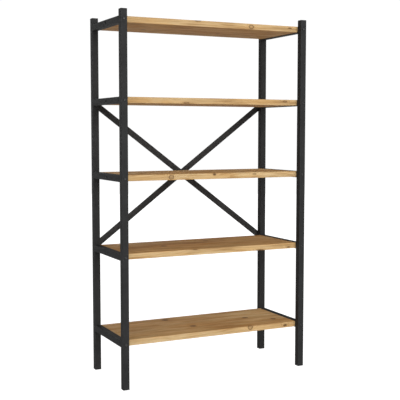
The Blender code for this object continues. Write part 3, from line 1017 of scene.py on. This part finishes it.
class BOOKCASE_OT_brace(bpy.types.Operator):
    """Make the two crossed bars and the rivet that holds their middles"""

    bl_idname = "bookcase.brace"
    bl_label = "Crossed bars"

    def execute(self, context):
        for name, node, direction in (("coated_bar_falling", "falling_brace_bar", -1),
                                      ("coated_bar_rising", "rising_brace_bar", 1)):
            low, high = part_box(node)
            run = high.x - low.x - BAR_WIDTH
            climb = high.z - low.z - BAR_WIDTH
            mesh = bar_mesh(name, math.hypot(run, climb) / 2, high.y - low.y - BAR_THICKNESS)
            mesh.transform(Matrix.Rotation(-direction * math.atan2(climb, run), 4, "Y"))
            centre = middle_of(node)
            add_piece(name, mesh, finish("coat"), node,
                      Matrix.Translation((centre.x, low.y, centre.z)))
        self.make_rivet()
        return {"FINISHED"}

    def make_rivet(self):
        """The rivet through both bars."""
        node = "brace_rivet"
        low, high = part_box(node)
        reach = high.y - low.y - 2 * RIVET_HEAD_HEIGHT
        mesh = rivet_mesh("rivet", (high.z - low.z) / 2, reach)
        centre = middle_of(node)
        place = Matrix.Translation((centre.x, low.y + RIVET_HEAD_HEIGHT, centre.z)) @ QUARTER_BACK
        add_piece("black_rivet", mesh, finish("fastener"), node, place)


class BOOKCASE_OT_plugs(bpy.types.Operator):
    """Make the plastic caps and feet that close the posts"""

    bl_idname = "bookcase.plugs"
    bl_label = "Caps and feet"

    def execute(self, context):
        post_low, post_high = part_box("front_left_post")
        half = (post_high.x - post_low.x) / 2
        cap_low, cap_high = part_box("front_left_cap")
        foot_low, foot_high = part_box("front_left_foot")
        cap_flange = cap_high.z - post_high.z
        foot_flange = post_low.z - foot_low.z
        cap = plug_mesh("cap_plug", half, cap_flange, post_high.z - cap_low.z, CAP_CROWN)
        foot = plug_mesh("foot_plug", half, foot_flange, foot_high.z - post_low.z, FOOT_CROWN)
        upside_down = Matrix.Rotation(math.pi, 4, "X")
        for corner in CORNERS:
            node = corner + "_cap"
            centre = middle_of(node)
            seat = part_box(node)[1].z - cap_flange
            place = Matrix.Translation((centre.x, centre.y, seat)) @ upside_down
            add_piece(f"plastic_cap_{corner}", cap, finish("plastic"), node, place)
        for corner in CORNERS:
            node = corner + "_foot"
            centre = middle_of(node)
            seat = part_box(node)[0].z + foot_flange
            place = Matrix.Translation((centre.x, centre.y, seat))
            add_piece(f"plastic_foot_{corner}", foot, finish("plastic"), node, place)
        return {"FINISHED"}


class BOOKCASE_OT_rail_bolts(bpy.types.Operator):
    """Make the twenty button-head bolts through the posts"""

    bl_idname = "bookcase.rail_bolts"
    bl_label = "Rail bolts"

    def execute(self, context):
        head = RAIL_BOLT["head_height"]
        low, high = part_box("front_left_rail_bolt_1")
        mesh = bolt_mesh("rail_bolt", high.y - low.y - head, **RAIL_BOLT)
        for corner in CORNERS:
            front = corner.startswith("front")
            facing = Matrix.Rotation(math.pi / 2 if front else -math.pi / 2, 4, "X")
            for shelf in SHELVES:
                node = f"{corner}_rail_bolt_{shelf}"
                low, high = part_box(node)
                centre = middle_of(node)
                seat = low.y + head if front else high.y - head
                turn = BOLT_TURN_BY_SHELF * shelf + BOLT_TURN_BY_CORNER * CORNERS.index(corner)
                twist = Matrix.Rotation(turn, 4, "Z")
                place = Matrix.Translation((centre.x, seat, centre.z)) @ facing @ twist
                add_piece(f"black_bolt_{corner}_{shelf}", mesh, finish("fastener"), node,
                          place)
        return {"FINISHED"}


class BOOKCASE_OT_board_screws(bpy.types.Operator):
    """Make the ten screws through the side rails"""

    bl_idname = "bookcase.board_screws"
    bl_label = "Board screws"

    def execute(self, context):
        head = BOARD_SCREW["head_height"]
        low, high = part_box("left_board_screw_1")
        mesh = bolt_mesh("board_screw", high.x - low.x - head, **BOARD_SCREW)
        for side in SIDES:
            left = side == "left"
            facing = Matrix.Rotation(-math.pi / 2 if left else math.pi / 2, 4, "Y")
            for shelf in SHELVES:
                node = f"{side}_board_screw_{shelf}"
                low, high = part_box(node)
                centre = middle_of(node)
                seat = low.x + head if left else high.x - head
                twist = Matrix.Rotation(SCREW_TURN_BY_SHELF * shelf, 4, "Z")
                place = Matrix.Translation((seat, centre.y, centre.z)) @ facing @ twist
                add_piece(f"black_screw_{side}_{shelf}", mesh, finish("fastener"), node,
                          place)
        return {"FINISHED"}


class BOOKCASE_OT_stage(bpy.types.Operator):
    """Make the floor, the studio light and the camera"""

    bl_idname = "bookcase.stage"
    bl_label = "Studio"

    def execute(self, context):
        scene = context.scene
        self.make_floor(scene)
        self.make_world(scene)
        self.make_lights(scene)
        self.make_camera(scene)
        scene.view_settings.view_transform = "Standard"
        return {"FINISHED"}

    def make_floor(self, scene):
        """A wide round pale floor under the bookcase."""
        bm = bmesh.new()
        bmesh.ops.create_circle(bm, cap_ends=True, segments=64, radius=FLOOR_RADIUS)
        mesh = bpy.data.meshes.new("studio_floor")
        bm.to_mesh(mesh)
        bm.free()
        mesh.materials.append(make_floor_paint())
        floor = bpy.data.objects.new("studio_floor", mesh)
        floor.location.z = -FLOOR_GAP
        scene.collection.objects.link(floor)

    def make_world(self, scene):
        """Even white light from all round, seen as plain white."""
        world = bpy.data.worlds.new("studio_light")
        world.use_nodes = True
        scene.world = world
        tree = world.node_tree
        tree.nodes.clear()
        output = tree.nodes.new("ShaderNodeOutputWorld")
        fill = tree.nodes.new("ShaderNodeBackground")
        seen = tree.nodes.new("ShaderNodeBackground")
        either = tree.nodes.new("ShaderNodeMixShader")
        ray = tree.nodes.new("ShaderNodeLightPath")
        fill.inputs["Color"].default_value = (1.0, 1.0, 1.0, 1.0)
        fill.inputs["Strength"].default_value = colours().fill_light
        seen.inputs["Color"].default_value = (1.0, 1.0, 1.0, 1.0)
        seen.inputs["Strength"].default_value = colours().backdrop
        tree.links.new(ray.outputs["Is Camera Ray"], either.inputs["Fac"])
        tree.links.new(fill.outputs[0], either.inputs[1])
        tree.links.new(seen.outputs[0], either.inputs[2])
        tree.links.new(either.outputs[0], output.inputs["Surface"])

    def make_lights(self, scene):
        """Wide soft lamps round the bookcase."""
        for name, bearing, height, strength in STUDIO_LAMPS:
            lamp = bpy.data.lights.new(name, "SUN")
            lamp.energy = strength
            lamp.angle = math.radians(LAMP_WIDTH)
            holder = bpy.data.objects.new(name, lamp)
            scene.collection.objects.link(holder)
            turn, lift = math.radians(bearing), math.radians(height)
            towards = Vector((math.sin(turn) * math.cos(lift), -math.cos(turn) * math.cos(lift),
                              math.sin(lift)))
            holder.rotation_euler = towards.to_track_quat("Z", "Y").to_euler()

    def make_camera(self, scene):
        """Camera to the left of the front, a little above the middle shelf."""
        lens = bpy.data.cameras.new("camera")
        lens.sensor_width = CAMERA_SENSOR
        lens.lens = CAMERA_LENS
        lens.clip_start = 0.05
        lens.clip_end = 60.0
        camera = bpy.data.objects.new("camera", lens)
        scene.collection.objects.link(camera)
        camera.location = CAMERA_PLACE
        camera.rotation_euler = (math.pi / 2 + CAMERA_PITCH, 0.0, -CAMERA_HEADING)
        scene.camera = camera


class BOOKCASE_PT_panel(bpy.types.Panel):
    """Lists the bookcase's pieces and settings"""

    bl_idname = "BOOKCASE_PT_panel"
    bl_label = "Bookcase"
    bl_space_type = "VIEW_3D"
    bl_region_type = "UI"
    bl_category = "Bookcase"

    def draw(self, context):
        layout = self.layout
        for operator in OPERATORS:
            layout.operator(operator.bl_idname)
        for settings in (context.scene.bookcase_sizes, context.scene.bookcase_colours):
            box = layout.box()
            for key in settings.__annotations__:
                box.prop(settings, key)


OPERATORS = (BOOKCASE_OT_posts, BOOKCASE_OT_side_rails, BOOKCASE_OT_boards, BOOKCASE_OT_brace,
             BOOKCASE_OT_plugs, BOOKCASE_OT_rail_bolts, BOOKCASE_OT_board_screws, BOOKCASE_OT_stage)
CLASSES = (BookcaseSizes, BookcaseColours, *OPERATORS, BOOKCASE_PT_panel)


def register():
    """Register the add-on's classes and settings."""
    for cls in CLASSES:
        bpy.utils.register_class(cls)
    bpy.types.Scene.bookcase_sizes = PointerProperty(type=BookcaseSizes)
    bpy.types.Scene.bookcase_colours = PointerProperty(type=BookcaseColours)


def unregister():
    """Remove the add-on's settings and classes."""
    del bpy.types.Scene.bookcase_colours
    del bpy.types.Scene.bookcase_sizes
    for cls in reversed(CLASSES):
        bpy.utils.unregister_class(cls)


def main():
    """Build every piece and the studio."""
    register()
    bpy.ops.bookcase.posts()
    bpy.ops.bookcase.side_rails()
    bpy.ops.bookcase.boards()
    bpy.ops.bookcase.brace()
    bpy.ops.bookcase.plugs()
    bpy.ops.bookcase.rail_bolts()
    bpy.ops.bookcase.board_screws()
    bpy.ops.bookcase.stage()


if __name__ == "__main__":
    main()
